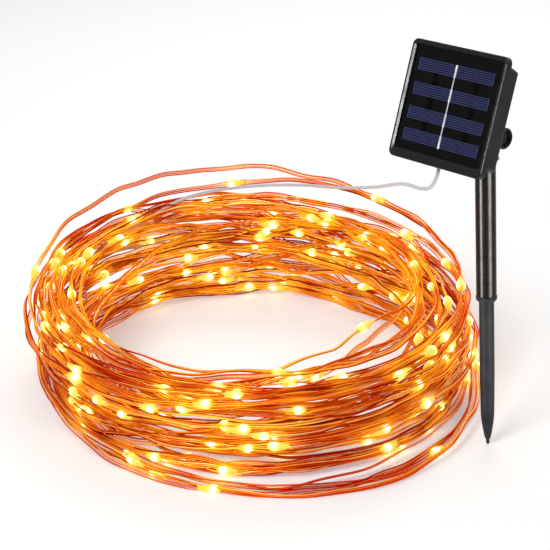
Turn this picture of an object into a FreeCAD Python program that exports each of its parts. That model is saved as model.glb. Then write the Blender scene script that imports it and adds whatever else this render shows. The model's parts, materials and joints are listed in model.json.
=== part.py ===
import FreeCAD, Part
import math
import os

from FreeCAD import Placement, Rotation, Vector

# Solar string lights: a square solar head on a ground stake, a clear two-core lead, and a coil of
# copper-wire lights that lies on the ground beside the stake. Millimetres. The origin is the tip of
# the ground spike and +Z runs up the stake.

# ---- driving dimensions: the stake ----
TIP_R = 1.2  # rounded tip of the spike
NIB_R, NIB_TOP = 1.4, 4.4  # the thin nib below the ogive
SHANK_R, SHANK_LOW, SHANK_TOP = 5.3, 56.0, 115.4  # the plain round shank
WAIST_R, WAIST_Z = 4.95, 29.0  # where the ogive meets the taper below the shank
SHOULDER_R, SHOULDER_H = 6.3, 1.2
SPIGOT_R, SPIGOT_TOP = 5.88, 146.0  # the spike's upper end, pushed into the tube
COLLAR_R, COLLAR_H, COLLAR_CHAMFER = 7.5, 3.6, 0.9
TUBE_R, TUBE_BORE_R, TUBE_GAP, TUBE_TOP = 7.1, 5.9, 0.3, 219.0
TUBE_CHAMFER = 0.5

# ---- driving dimensions: the tilt joint ----
HINGE_Z = 239.0  # height of the tilt axis
HEAD_YAW, HEAD_TILT = 48.0, 22.0  # the face is turned 48 degrees to the left and 22 degrees up
EYE_HALF, EYE_R = 3.95, 7.0  # the bracket's eye
BOLT_R, BORE_R = 2.5, 2.56
WASHER_IN, WASHER_OUT, WASHER_R = 4.0, 4.5, 6.4
EAR_IN, EAR_OUT, EAR_R = 4.6, 8.6, 7.0
NUT_FLAT, NUT_T = 8.0, 2.6  # across flats, thickness
NUT_GAP = 0.05
KNOB_IN, KNOB_NECK, KNOB_OUT = 8.8, 11.4, 18.0
KNOB_R, KNOB_NECK_R, KNOB_DISH_R, KNOB_DISH = 7.2, 5.0, 5.2, 1.8
KNOB_FLUTES, FLUTE_R, FLUTE_OFF = 20, 0.75, 0.45
STEM_HALF_X, STEM_HALF_Y = 3.95, 5.6
FLANGE_R, FLANGE_H, PLUG_DEPTH = 7.1, 3.4, 22.0
PIN_R, PIN_BALL_R, PIN_REACH = 1.2, 1.5, 8.6

# ---- driving dimensions: the solar head, in its own frame ----
# The head's frame has its origin on the tilt axis, X to the viewer's right along the axis, Y into the
# panel, Z up the panel.
PANEL = 80.0
PANEL_X, PANEL_Z = -12.0, 12.0  # centre of the face
FACE_Y, FRAME_D = -32.0, 6.0
FRAME_CORNER_R = 4.5
RIM = 1.9  # flat rim round the recess
SIDE_BEVEL, FOOT_BEVEL = 1.3, 4.4  # the recess wall slopes in; the foot slope is wider
RECESS_D = 3.0
PLATE_GAP = 0.2
COVER_T, RIBBON_T, CELL_T, BOARD_T = 0.8, 0.15, 0.3, 1.0
COVER_Y = -31.0  # front of the clear cover
CELL_W, CELL_H = 64.0, 8.1
CELL_TOPS = (12.0, 28.3, 44.6, 59.3)  # below the top edge of the frame
RIBBON_W, LINK_W = 1.5, 0.8
GASKET_T = 0.6
CASE_W, CASE_BACK_Y, CASE_WALL = 78.8, -16.0, 2.0
CASE_TOP_IN, CASE_FOOT_IN = 5.6, 5.2  # the case is lower than the frame at both ends
CASE_CORNER_R = 4.0
CASE_SHOULDER, CASE_SHOULDER_D = 3.4, 7.0  # slope of the case's top edge
FLOOR_HOLE_W, FLOOR_HOLE_H = 60.0, 64.0
SCREW_R, SCREW_HEAD_R, SCREW_HEAD_H, SCREW_LEN = 1.3, 2.5, 1.6, 9.0
SCREW_IN = 6.0  # screw axes in from the case's corners
BOSS_R = 3.1
DOOR_W, DOOR_H, DOOR_T = 56.0, 15.0, 1.2
DOOR_Z = 36.5
DOOR_SCREW_IN = 4.5
DOOR_X = -13.0
BATTERY_R, BATTERY_L = 5.2, 44.0
BATTERY_IN = 2.5  # the cell's end from the door's edge
CRADLE_HALF = 6.4
PCB_W, PCB_H, PCB_T = 42.0, 24.0, 1.2
PCB_X, PCB_Z, PCB_Y = -31.0, 8.0, -24.6
BUTTON_X, POWER_Z, MODE_Z = -38.0, 14.0, 1.0
BUTTON_R, BUTTON_STEM_R, BUTTON_PROUD, BUTTON_GAP = 4.0, 1.6, 1.1, 0.25
BUTTON_TRAVEL = 0.8
SWITCH_W, SWITCH_H = 5.0, 3.0
GLAND_X, GLAND_Y, GLAND_R, GLAND_LEN = -14.0, -21.8, 2.6, 6.0
GLAND_BORE_R = 1.5

# ---- driving dimensions: the lead and the coil ----
LEAD_R = 1.3
COIL_X, COIL_Y = -169.4, 145.0
COIL_R_OUT, COIL_R_IN = 175.0, 134.5
COIL_SKEW = -0.14  # y gained per mm of x: the hank lies a little oval
COIL_TOP, COIL_SLOPE = 78.0, 0.0606  # height of the top over the centre, and its rise along +Y
COIL_ROUND = 9.0
BEAD_ROWS, BEADS_PER_ROW = 4, 24
BEAD_R, BEAD_L = 3.4, 13.0
SPLICE_R, SPLICE_L = 4.0, 30.0
CAP_R, CAP_L = 2.4, 16.0

# The lead's route from the gland to where it goes down into the coil.
LEAD_ROUTE = [
    (-32.5, -10.4, 220.2),
    (-36.0, -13.5, 208.7),
    (-43.5, -4.5, 200.8),
    (-51.5, 21.0, 194.0),
    (-57.5, 60.0, 178.0),
    (-64.5, 112.0, 156.5),
    (-72.5, 163.0, 137.5),
    (-82.0, 211.0, 120.5),
    (-93.0, 252.0, 107.0),
    (-111.0, 285.0, 98.5),
    (-140.0, 301.0, 95.0),
    (-172.0, 305.0, 93.5),
    (-204.0, 301.0, 92.5),
    (-229.0, 293.5, 88.5),
    (-249.0, 281.0, 80.0),
]

os.makedirs("parts", exist_ok=True)
X_AXIS, Y_AXIS, Z_AXIS = Vector(1, 0, 0), Vector(0, 1, 0), Vector(0, 0, 1)


# ---- helpers ----
def save(name, shape):
    """Writes one sub-part and says how big it is."""
    shape.exportStep(f"parts/{name}.step")
    print(f"{name:20s} solids {len(shape.Solids):3d}  volume {shape.Volume:10.1f}  valid {shape.isValid()}")


def cylinder(radius, start, end):
    """A round bar between two points."""
    a, b = Vector(*start), Vector(*end)
    return Part.makeCylinder(radius, (b - a).Length, a, b - a)


def block(low, high):
    """A box between two opposite corners."""
    size = Vector(*high) - Vector(*low)
    return Part.makeBox(size.x, size.y, size.z, Vector(*low))


def turned(profile):
    """A solid of revolution about Z from (radius, height) corners."""
    corners = [Vector(r, 0, z) for r, z in profile]
    face = Part.Face(Part.makePolygon(corners + corners[:1]))
    return face.revolve(Vector(), Z_AXIS, 360)


def rounded_rectangle(x0, x1, z0, z1, r, y):
    """A closed wire in an XZ plane, with round corners."""
    edges = []
    centres = [(x1 - r, z1 - r, 0), (x0 + r, z1 - r, 90), (x0 + r, z0 + r, 180), (x1 - r, z0 + r, 270)]
    ends = []
    for cx, cz, start in centres:
        at = [math.radians(start + t) for t in (0, 45, 90)]
        ends.append([Vector(cx + r * math.cos(a), y, cz + r * math.sin(a)) for a in at])
    for i, (a, m, b) in enumerate(ends):
        edges.append(Part.Arc(a, m, b).toShape())
        edges.append(Part.LineSegment(b, ends[(i + 1) % 4][0]).toShape())
    return Part.Wire(edges)


def slab(x0, x1, z0, z1, r, y0, y1):
    """A flat plate with round corners, from y0 to y1."""
    face = Part.Face(rounded_rectangle(x0, x1, z0, z1, r, y0))
    return face.extrude(Vector(0, y1 - y0, 0))


def head_place(shape):
    """Moves a shape from the head's own frame to its place on the stake."""
    shape = shape.copy()
    tilt = Placement(Vector(), Rotation(X_AXIS, -HEAD_TILT))
    yaw = Placement(Vector(0, 0, HINGE_Z), Rotation(Z_AXIS, -HEAD_YAW))
    shape.Placement = yaw.multiply(tilt).multiply(shape.Placement)
    return shape


def yaw_place(shape):
    """Moves a shape that is drawn round the tilt axis, upright, to its place on the stake."""
    shape = shape.copy()
    shape.Placement = Placement(Vector(0, 0, HINGE_Z), Rotation(Z_AXIS, -HEAD_YAW)).multiply(shape.Placement)
    return shape


# ---- the stake ----
def ground_spike():
    """Moulded spike: nib, ogive, taper, plain shank, shoulder and the spigot that goes up the tube."""
    tip = [Vector(0, 0, 0), Vector(TIP_R * 0.71, 0, TIP_R * 0.29), Vector(TIP_R, 0, TIP_R)]
    nib_top = Vector(NIB_R, 0, NIB_TOP)
    step = Vector(NIB_R + 0.55, 0, NIB_TOP + 0.5)
    belly = Vector(3.85, 0, 15.2)
    waist = Vector(WAIST_R, 0, WAIST_Z)
    ogive = Part.BSplineCurve()
    leans = [Vector(0.32, 0, 1), Vector(0.16, 0, 1), Vector(0.013, 0, 1)]
    ogive.interpolate([step, belly, waist], Tangents=leans, TangentFlags=[True, True, True])
    line = [
        (SHANK_R, SHANK_LOW), (SHANK_R, SHANK_TOP), (SHOULDER_R, SHANK_TOP + 0.5),
        (SHOULDER_R, SHANK_TOP + SHOULDER_H), (SPIGOT_R, SHANK_TOP + SHOULDER_H),
        (SPIGOT_R, SPIGOT_TOP - 1.0), (SPIGOT_R - 1.0, SPIGOT_TOP), (0, SPIGOT_TOP), (0, 0),
    ]
    corners = [waist] + [Vector(r, 0, z) for r, z in line]
    edges = [Part.Arc(*tip).toShape(), Part.LineSegment(tip[2], nib_top).toShape()]
    edges += [Part.LineSegment(nib_top, step).toShape(), ogive.toShape()]
    edges += [Part.LineSegment(a, b).toShape() for a, b in zip(corners, corners[1:])]
    return Part.Face(Part.Wire(edges)).revolve(Vector(), Z_AXIS, 360)


def tube_collar():
    """Chamfered ring between the spike's shoulder and the tube."""
    z0 = SHANK_TOP + SHOULDER_H
    z1 = z0 + COLLAR_H
    c = COLLAR_CHAMFER
    return turned([
        (SPIGOT_R, z0), (COLLAR_R - c, z0), (COLLAR_R, z0 + c), (COLLAR_R, z1 - c), (COLLAR_R - c, z1),
        (SPIGOT_R, z1),
    ])


def stake_tube():
    """Thin-walled aluminium tube, open at both ends."""
    z0 = SHANK_TOP + SHOULDER_H + COLLAR_H + TUBE_GAP
    c = TUBE_CHAMFER
    return turned([
        (TUBE_BORE_R, z0), (TUBE_R - c, z0), (TUBE_R, z0 + c), (TUBE_R, TUBE_TOP - c), (TUBE_R - c, TUBE_TOP),
        (TUBE_BORE_R, TUBE_TOP),
    ])


def locking_pin():
    """Cross pin with ball ends that keys the bracket to the tube's mouth."""
    z = TUBE_TOP + FLANGE_H / 2
    reach = PIN_REACH - PIN_BALL_R * 0.6
    bar = cylinder(PIN_R, (-reach, 0, z), (reach, 0, z))
    for side in (-1, 1):
        bar = bar.fuse(Part.makeSphere(PIN_BALL_R, Vector(side * (PIN_REACH - PIN_BALL_R * 0.4), 0, z)))
    return bar.removeSplitter()


def tilt_bracket(pin):
    """Plug in the tube, flange on its mouth, flat stem and the eye that the head tilts on."""
    eye = cylinder(EYE_R, (-EYE_HALF, 0, 0), (EYE_HALF, 0, 0))
    drop = HINGE_Z - (TUBE_TOP + FLANGE_H)
    stem = block((-STEM_HALF_X, -STEM_HALF_Y, -drop), (STEM_HALF_X, STEM_HALF_Y, 0))
    web = Part.makeCone(FLANGE_R - 0.5, STEM_HALF_Y - 1.2, 4.0, Vector(0, 0, -drop), Z_AXIS)
    flange = Part.makeCylinder(FLANGE_R, FLANGE_H, Vector(0, 0, -drop - FLANGE_H), Z_AXIS)
    plug_top = -drop - FLANGE_H
    plug = Part.makeCylinder(SPIGOT_R, PLUG_DEPTH, Vector(0, 0, plug_top - PLUG_DEPTH), Z_AXIS)
    bracket = eye.fuse([stem, web, flange, plug]).removeSplitter()
    bracket = bracket.cut(cylinder(BORE_R, (-9, 0, 0), (9, 0, 0)))
    return yaw_place(bracket).cut(pin)


# ---- the solar head, each piece in the head's own frame ----
X0, X1 = PANEL_X - PANEL / 2, PANEL_X + PANEL / 2
Z0, Z1 = PANEL_Z - PANEL / 2, PANEL_Z + PANEL / 2
FRAME_BACK = FACE_Y + FRAME_D
RECESS = (X0 + RIM + SIDE_BEVEL, X1 - RIM - SIDE_BEVEL, Z0 + RIM + FOOT_BEVEL, Z1 - RIM - SIDE_BEVEL)
CASE_X0, CASE_X1 = PANEL_X - CASE_W / 2, PANEL_X + CASE_W / 2
CASE_Z0, CASE_Z1 = Z0 + CASE_FOOT_IN, Z1 - CASE_TOP_IN
CASE_FRONT = FRAME_BACK + GASKET_T
SCREW_SPOTS = [(x, z) for x in (CASE_X0 + SCREW_IN, CASE_X1 - SCREW_IN)
               for z in (CASE_Z0 + SCREW_IN, CASE_Z1 - SCREW_IN - 2.0)]
COVER_BACK = COVER_Y + COVER_T
RIBBON_BACK = COVER_BACK + RIBBON_T
CELL_BACK = RIBBON_BACK + CELL_T
BOARD_BACK = CELL_BACK + BOARD_T


def recess_floor_plate(y0, y1):
    """A plate that fills the frame's recess with a small gap round it."""
    x0, x1, z0, z1 = RECESS
    g = PLATE_GAP
    return slab(x0 + g, x1 - g, z0 + g, z1 - g, 1.4, y0, y1)


def front_frame():
    """Moulded tray: a rounded rim, sloped recess walls, a floor, and bosses for the case screws."""
    body = slab(X0, X1, Z0, Z1, FRAME_CORNER_R, FACE_Y, FRAME_BACK)
    front = [e for e in body.Edges if e.BoundBox.YMax < FACE_Y + 0.01]
    body = body.makeFillet(1.1, front)
    x0, x1, z0, z1 = RECESS
    mouth = rounded_rectangle(X0 + RIM, X1 - RIM, Z0 + RIM, Z1 - RIM, 2.6, FACE_Y - 0.01)
    seat = rounded_rectangle(x0, x1, z0, z1, 1.5, COVER_Y)
    funnel = Part.makeLoft([mouth, seat], True, True)
    well = slab(x0, x1, z0, z1, 1.5, COVER_Y, BOARD_BACK)
    hx, hz = FLOOR_HOLE_W / 2, FLOOR_HOLE_H / 2
    hole = slab(PANEL_X - hx, PANEL_X + hx, PANEL_Z - hz, PANEL_Z + hz, 3.0, BOARD_BACK - 1, FRAME_BACK + 1)
    body = body.cut([funnel, well, hole])
    for x, z in SCREW_SPOTS:
        body = body.cut(cylinder(SCREW_R, (x, BOARD_BACK + 0.6, z), (x, FRAME_BACK + 1, z)))
    return body


def cell_blocks():
    """Four blue cell strips in rows down the panel."""
    half = CELL_W / 2
    strips = []
    for top in CELL_TOPS:
        z = Z1 - top
        strips.append(block((PANEL_X - half, RIBBON_BACK, z - CELL_H), (PANEL_X + half, CELL_BACK, z)))
    return Part.makeCompound(strips)


def busbar_ribbon():
    """Tinned ribbon down the middle of the cells: wide on each cell, thin between them."""
    tops = [Z1 - top for top in CELL_TOPS]
    pieces = [block((PANEL_X - RIBBON_W / 2, COVER_BACK, z - CELL_H - 0.4),
                    (PANEL_X + RIBBON_W / 2, RIBBON_BACK, z)) for z in tops]
    link = block((PANEL_X - LINK_W / 2, COVER_BACK, tops[-1] - CELL_H - 0.4),
                 (PANEL_X + LINK_W / 2, RIBBON_BACK, tops[0]))
    return link.fuse(pieces).removeSplitter()


def panel_board():
    """Black backing board of the cells, level with the back of the recess."""
    return recess_floor_plate(CELL_BACK, BOARD_BACK)


def case_outline(inset, y):
    """The rear case's outline, moved in by inset."""
    return rounded_rectangle(CASE_X0 + inset, CASE_X1 - inset, CASE_Z0 + inset, CASE_Z1 - inset,
                             CASE_CORNER_R - inset * 0.9, y)


def gasket():
    """Foam gasket between the frame and the rear case."""
    outer = Part.Face(case_outline(0.3, FRAME_BACK)).extrude(Vector(0, GASKET_T, 0))
    inner = Part.Face(case_outline(CASE_WALL, FRAME_BACK - 1)).extrude(Vector(0, GASKET_T + 2, 0))
    return outer.cut(inner)


def rear_case():
    """Moulded back: a shell with a sloped top edge, screw bosses, hinge ears and openings for the parts."""
    depth = CASE_BACK_Y - CASE_FRONT
    body = Part.Face(case_outline(0, CASE_FRONT)).extrude(Vector(0, depth, 0))
    shoulder_low = CASE_Z1 - CASE_SHOULDER * (CASE_SHOULDER_D + 1) / CASE_SHOULDER_D
    shoulder = Part.Face(Part.makePolygon([
        Vector(CASE_X0 - 1, CASE_BACK_Y - CASE_SHOULDER_D, CASE_Z1 + 0.01),
        Vector(CASE_X0 - 1, CASE_BACK_Y + 1, shoulder_low),
        Vector(CASE_X0 - 1, CASE_BACK_Y + 1, CASE_Z1 + 1),
        Vector(CASE_X0 - 1, CASE_BACK_Y - CASE_SHOULDER_D, CASE_Z1 + 1),
        Vector(CASE_X0 - 1, CASE_BACK_Y - CASE_SHOULDER_D, CASE_Z1 + 0.01),
    ])).extrude(Vector(CASE_W + 2, 0, 0))
    back = [e for e in body.Edges if e.BoundBox.YMin > CASE_BACK_Y - 0.01]
    body = body.makeFillet(1.2, back).cut(shoulder)
    cavity = Part.Face(case_outline(CASE_WALL, CASE_FRONT - 1)).extrude(Vector(0, depth + 1 - CASE_WALL, 0))
    slope = shoulder.copy()
    slope.translate(Vector(0, -CASE_WALL, -CASE_WALL))
    body = body.cut(cavity.cut(slope))
    ears = []
    for side in (-1, 1):
        a, b = sorted((side * EAR_IN, side * EAR_OUT))
        ears.append(cylinder(EAR_R, (a, 0, 0), (b, 0, 0)))
        ears.append(Part.Face(Part.makePolygon([
            Vector(a, 0, EAR_R), Vector(a, CASE_BACK_Y - 0.5, 11.0), Vector(a, CASE_BACK_Y - 0.5, -11.0),
            Vector(a, 0, -EAR_R), Vector(a, 0, EAR_R),
        ])).extrude(Vector(b - a, 0, 0)))
    bosses = [cylinder(BOSS_R, (x, CASE_FRONT, z), (x, CASE_BACK_Y - 1.0, z)) for x, z in SCREW_SPOTS]
    body = body.fuse(ears + bosses)
    cuts = [cylinder(BORE_R, (-EAR_OUT - 1, 0, 0), (EAR_OUT + 1, 0, 0))]
    cuts.append(hexagon(NUT_FLAT / 2 + NUT_GAP, -EAR_OUT - 1, -EAR_OUT + NUT_T + NUT_GAP))
    for x, z in SCREW_SPOTS:
        cuts.append(cylinder(SCREW_R + 0.2, (x, CASE_FRONT - 1, z), (x, CASE_BACK_Y + 1, z)))
        cuts.append(cylinder(SCREW_HEAD_R + 0.2, (x, CASE_BACK_Y - SCREW_HEAD_H, z), (x, CASE_BACK_Y + 1, z)))
    for z in (POWER_Z, MODE_Z):
        seat = BUTTON_R + BUTTON_GAP
        cuts.append(cylinder(seat, (BUTTON_X, CASE_BACK_Y - 1.0, z), (BUTTON_X, CASE_BACK_Y + 1, z)))
        stem = BUTTON_STEM_R + BUTTON_GAP
        cuts.append(cylinder(stem, (BUTTON_X, CASE_BACK_Y - 4, z), (BUTTON_X, CASE_BACK_Y + 1, z)))
    cuts.append(door_plate(0.0, CASE_BACK_Y - DOOR_T, CASE_BACK_Y + 1))
    cuts.append(door_plate(2.0, CASE_BACK_Y - 4, CASE_BACK_Y + 1))
    gland_top = CASE_Z0 + CASE_WALL + 1
    cuts.append(cylinder(GLAND_R, (GLAND_X, GLAND_Y, CASE_Z0 - 1), (GLAND_X, GLAND_Y, gland_top)))
    return body.cut(cuts)


def hexagon(half_flat, x0, x1):
    """A hexagonal bar along X on the tilt axis."""
    corner = half_flat / math.cos(math.pi / 6)
    points = [Vector(x0, corner * math.cos(a), corner * math.sin(a)) for a in
              [math.pi / 3 * k for k in range(7)]]
    return Part.Face(Part.makePolygon(points)).extrude(Vector(x1 - x0, 0, 0))


def door_plate(inset, y0, y1):
    """The battery door's outline as a plate, moved in by inset."""
    hx, hz = DOOR_W / 2 - inset, DOOR_H / 2 - inset
    return slab(DOOR_X - hx, DOOR_X + hx, DOOR_Z - hz, DOOR_Z + hz, 2.0, y0, y1)


def battery_door():
    """Flat door in the back of the case with a finger notch."""
    plate = door_plate(0.15, CASE_BACK_Y - DOOR_T, CASE_BACK_Y)
    notch = cylinder(3.0, (DOOR_X - DOOR_W / 2 + 5, CASE_BACK_Y + 2.3, DOOR_Z - 3),
                     (DOOR_X - DOOR_W / 2 + 5, CASE_BACK_Y + 2.3, DOOR_Z + 3))
    hole = cylinder(SCREW_R + 0.05, door_screw_spot(-DOOR_T - 1), door_screw_spot(1))
    return plate.cut([notch, hole])


def door_screw_spot(dy):
    """A point on the door screw's axis, dy beyond the case's back."""
    return (DOOR_X + DOOR_W / 2 - DOOR_SCREW_IN, CASE_BACK_Y + dy, DOOR_Z)


def screw(x, y_head, z, length):
    """Pan-head cross-recess screw that points at the face of the panel."""
    head = cylinder(SCREW_HEAD_R, (x, y_head - SCREW_HEAD_H, z), (x, y_head, z))
    rim = [e for e in head.Edges if e.BoundBox.YMin > y_head - 0.01]
    head = head.makeFillet(0.5, rim)
    shank = cylinder(SCREW_R, (x, y_head - SCREW_HEAD_H - length, z), (x, y_head - SCREW_HEAD_H, z))
    body = head.fuse(shank)
    for wide, tall in ((1.5, 0.28), (0.28, 1.5)):
        body = body.cut(block((x - wide, y_head - 0.9, z - tall), (x + wide, y_head + 1, z + tall)))
    return body


def case_screws():
    """Four screws that hold the case to the frame."""
    return Part.makeCompound([screw(x, CASE_BACK_Y, z, SCREW_LEN - SCREW_HEAD_H) for x, z in SCREW_SPOTS])


def door_screw():
    """The small screw of the battery door, held in a post of the cradle."""
    x, y, z = door_screw_spot(SCREW_HEAD_H)
    return screw(x, y, z, 5.0)


def battery():
    """One rechargeable cell with its raised positive cap."""
    y = CASE_BACK_Y - 2.2 - BATTERY_R
    x0 = DOOR_X - DOOR_W / 2 + BATTERY_IN
    body = cylinder(BATTERY_R, (x0, y, DOOR_Z), (x0 + BATTERY_L - 1.0, y, DOOR_Z))
    body = body.makeFillet(0.5, [e for e in body.Edges if e.Length > 2 * BATTERY_R * 3])
    return body.fuse(cylinder(1.9, (x0 + BATTERY_L - 1.6, y, DOOR_Z), (x0 + BATTERY_L, y, DOOR_Z)))


def battery_contacts():
    """Two plated spring leaves, one at each end of the cell."""
    y = CASE_BACK_Y - 2.2 - BATTERY_R
    x0 = DOOR_X - DOOR_W / 2 + BATTERY_IN
    leaves = [block((x0 - 0.5, y - 3.5, DOOR_Z - 4), (x0 - 0.1, y + 3.5, DOOR_Z + 4)),
              block((x0 + BATTERY_L + 0.1, y - 3.5, DOOR_Z - 4), (x0 + BATTERY_L + 0.5, y + 3.5, DOOR_Z + 4))]
    return Part.makeCompound(leaves)


def battery_cradle():
    """Moulded trough that holds the cell and carries the door screw's post."""
    y = CASE_BACK_Y - 2.2 - BATTERY_R
    x0, x1 = DOOR_X - DOOR_W / 2 + 0.8, DOOR_X + DOOR_W / 2 - 0.8
    low, high = FRAME_BACK - 1.6, y
    body = block((x0, low, DOOR_Z - CRADLE_HALF), (x1, high, DOOR_Z + CRADLE_HALF))
    room = cylinder(BATTERY_R + 0.15, (x0 + 1.1, y, DOOR_Z), (x0 + 2.6 + BATTERY_L, y, DOOR_Z))
    body = body.cut(room)
    sx, _, sz = door_screw_spot(0)
    return body.cut(cylinder(SCREW_R + 0.02, (sx, high - 4, sz), (sx, high + 1, sz)))


def circuit_board():
    """The charge and flasher board behind the buttons."""
    low = (PCB_X - PCB_W / 2 + 9, PCB_Y, PCB_Z - PCB_H / 2)
    high = (PCB_X + PCB_W / 2, PCB_Y + PCB_T, PCB_Z + PCB_H / 2)
    return block(low, high)


def board_components():
    """Driver chip, coil and two capacitors on the board."""
    top = PCB_Y + PCB_T
    chip = block((-24, top, 9), (-19, top + 1.5, 13))
    inductor = block((-24, top, 0), (-18.5, top + 2.4, 5.5))
    caps = [cylinder(1.6, (x, top, 16.5), (x, top + 3.6, 16.5)) for x in (-16.0, -22.0)]
    return Part.makeCompound([chip, inductor] + caps)


def button_switches():
    """Two tact switches, one under each button."""
    top = PCB_Y + PCB_T
    half = SWITCH_W / 2
    found = []
    for z in (POWER_Z, MODE_Z):
        base = block((BUTTON_X - half, top, z - half), (BUTTON_X + half, top + SWITCH_H - 0.6, z + half))
        found.append(base.fuse(cylinder(1.5, (BUTTON_X, top, z), (BUTTON_X, top + SWITCH_H, z))))
    return Part.makeCompound(found)


def button(z):
    """Domed soft-touch button: cap in its counterbore and a stem that reaches the switch."""
    y = CASE_BACK_Y
    bottom = y - 1.0 + BUTTON_TRAVEL + 0.1
    cap = cylinder(BUTTON_R, (BUTTON_X, bottom, z), (BUTTON_X, y + BUTTON_PROUD, z))
    rim = [e for e in cap.Edges if e.BoundBox.YMin > y + BUTTON_PROUD - 0.01]
    cap = cap.makeFillet(0.7, rim)
    reach = PCB_Y + PCB_T + SWITCH_H + BUTTON_TRAVEL + 0.1
    return cap.fuse(cylinder(BUTTON_STEM_R, (BUTTON_X, reach, z), (BUTTON_X, bottom + 0.2, z)))


def cable_gland():
    """Rubber strain relief in the foot of the case, tapered to the lead."""
    z = CASE_Z0
    at = Vector(GLAND_X, GLAND_Y, z)
    neck = Part.makeCylinder(GLAND_R - 0.02, CASE_WALL, at, Z_AXIS)
    inner = Part.makeCylinder(GLAND_R + 0.9, 1.0, at + Vector(0, 0, CASE_WALL), Z_AXIS)
    lip = Part.makeCone(GLAND_R + 0.7, GLAND_R + 0.2, 1.0, at, -Z_AXIS)
    taper = Part.makeCone(GLAND_R - 0.1, GLAND_R - 0.7, GLAND_LEN - 1.0, at - Vector(0, 0, 1.0), -Z_AXIS)
    body = neck.fuse([inner, lip, taper])
    bore = Part.makeCylinder(GLAND_BORE_R, GLAND_LEN + 6, at - Vector(0, 0, GLAND_LEN + 1), Z_AXIS)
    return body.cut(bore)


# ---- the tilt joint's hardware, in the head's own frame ----
def hinge_bolt():
    """Steel bolt moulded into the knob, through both ears and the eye."""
    body = cylinder(BOLT_R, (-EAR_OUT + 0.2, 0, 0), (KNOB_NECK + 2.4, 0, 0))
    return body.fuse(hexagon(3.6, KNOB_NECK, KNOB_NECK + 2.4))


def tilt_knob(bolt):
    """Thumb knob with a dished face and a fluted edge."""
    edge = 0.8
    turned_knob = turned([
        (0, KNOB_IN), (KNOB_NECK_R, KNOB_IN), (KNOB_NECK_R, KNOB_NECK), (KNOB_R - edge, KNOB_NECK),
        (KNOB_R, KNOB_NECK + edge), (KNOB_R, KNOB_OUT - edge), (KNOB_R - edge, KNOB_OUT),
        (KNOB_DISH_R, KNOB_OUT), (KNOB_DISH_R - 1.0, KNOB_OUT - KNOB_DISH), (0, KNOB_OUT - KNOB_DISH),
    ])
    knob = turned_knob.copy()
    for k in range(KNOB_FLUTES):
        a = 2 * math.pi * k / KNOB_FLUTES
        at = Vector((KNOB_R + FLUTE_OFF) * math.cos(a), (KNOB_R + FLUTE_OFF) * math.sin(a), KNOB_NECK - 1)
        knob = knob.cut(Part.makeCylinder(FLUTE_R, KNOB_OUT - KNOB_NECK + 2, at, Z_AXIS))
    knob.Placement = Placement(Vector(), Rotation(Y_AXIS, 90)).multiply(knob.Placement)
    return knob.cut(bolt)


def hinge_nut():
    """Hex nut held in the left ear's pocket, with running clearance on the bolt."""
    bore = cylinder(BORE_R, (-EAR_OUT - 1, 0, 0), (0, 0, 0))
    return hexagon(NUT_FLAT / 2, -EAR_OUT, -EAR_OUT + NUT_T).cut(bore)


def friction_washers():
    """Two fibre washers, one each side of the eye."""
    found = []
    for side in (-1, 1):
        a, b = sorted((side * WASHER_IN, side * WASHER_OUT))
        ring = cylinder(WASHER_R, (a, 0, 0), (b, 0, 0))
        found.append(ring.cut(cylinder(BORE_R + 0.1, (a - 1, 0, 0), (b + 1, 0, 0))))
    return Part.makeCompound(found)


# ---- the lead and the coil ----
def route_tube(points, radius):
    """A round tube along straight runs joined by tangent arcs as large as the runs allow."""
    p = [Vector(*q) for q in points]
    edges, here, radii = [], p[0], []
    for i in range(1, len(p) - 1):
        back, ahead = p[i - 1] - p[i], p[i + 1] - p[i]
        reach = 0.45 * min(back.Length, ahead.Length)
        turn = math.pi - back.getAngle(ahead)
        arc_radius = reach / math.tan(turn / 2)
        radii.append(arc_radius)
        start = p[i] + back.normalize() * reach
        end = p[i] + ahead.normalize() * reach
        bisector = (back + ahead).normalize()
        middle = p[i] + bisector * (arc_radius / math.cos(turn / 2) - arc_radius)
        edges.append(Part.LineSegment(here, start).toShape())
        edges.append(Part.Arc(start, middle, end).toShape())
        here = end
    edges.append(Part.LineSegment(here, p[-1]).toShape())
    path = Part.Wire(edges)
    ring = Part.Wire(Part.Circle(p[0], p[1] - p[0], radius).toShape())
    tube = path.makePipeShell([ring], True, False)
    expected = math.pi * radius**2 * path.Length
    print("lead radii", [round(r) for r in radii], "length", round(path.Length, 1))
    print("lead volume over section times length", round(tube.Volume / expected, 4))
    return tube


def oval_point(radius, angle):
    """A point of the oval that a circle of this radius becomes when it is skewed."""
    x, y = radius * math.cos(angle), radius * math.sin(angle)
    return COIL_X + x, COIL_Y + y + COIL_SKEW * x


def oval_wire(radius, z):
    """The skewed circle as an ellipse: its axes are the skew matrix's singular vectors."""
    s = COIL_SKEW
    spread = math.sqrt(s * s / 4 + 1)
    major, minor = radius * (spread + abs(s) / 2), radius * (spread - abs(s) / 2)
    angle = 0.5 * math.atan2(2 * s, -s * s)
    ellipse = Part.Ellipse(Vector(), major, minor)
    shape = Part.Wire(ellipse.toShape())
    shape.Placement = Placement(Vector(COIL_X, COIL_Y, z), Rotation(Z_AXIS, math.degrees(angle)))
    return shape


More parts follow.
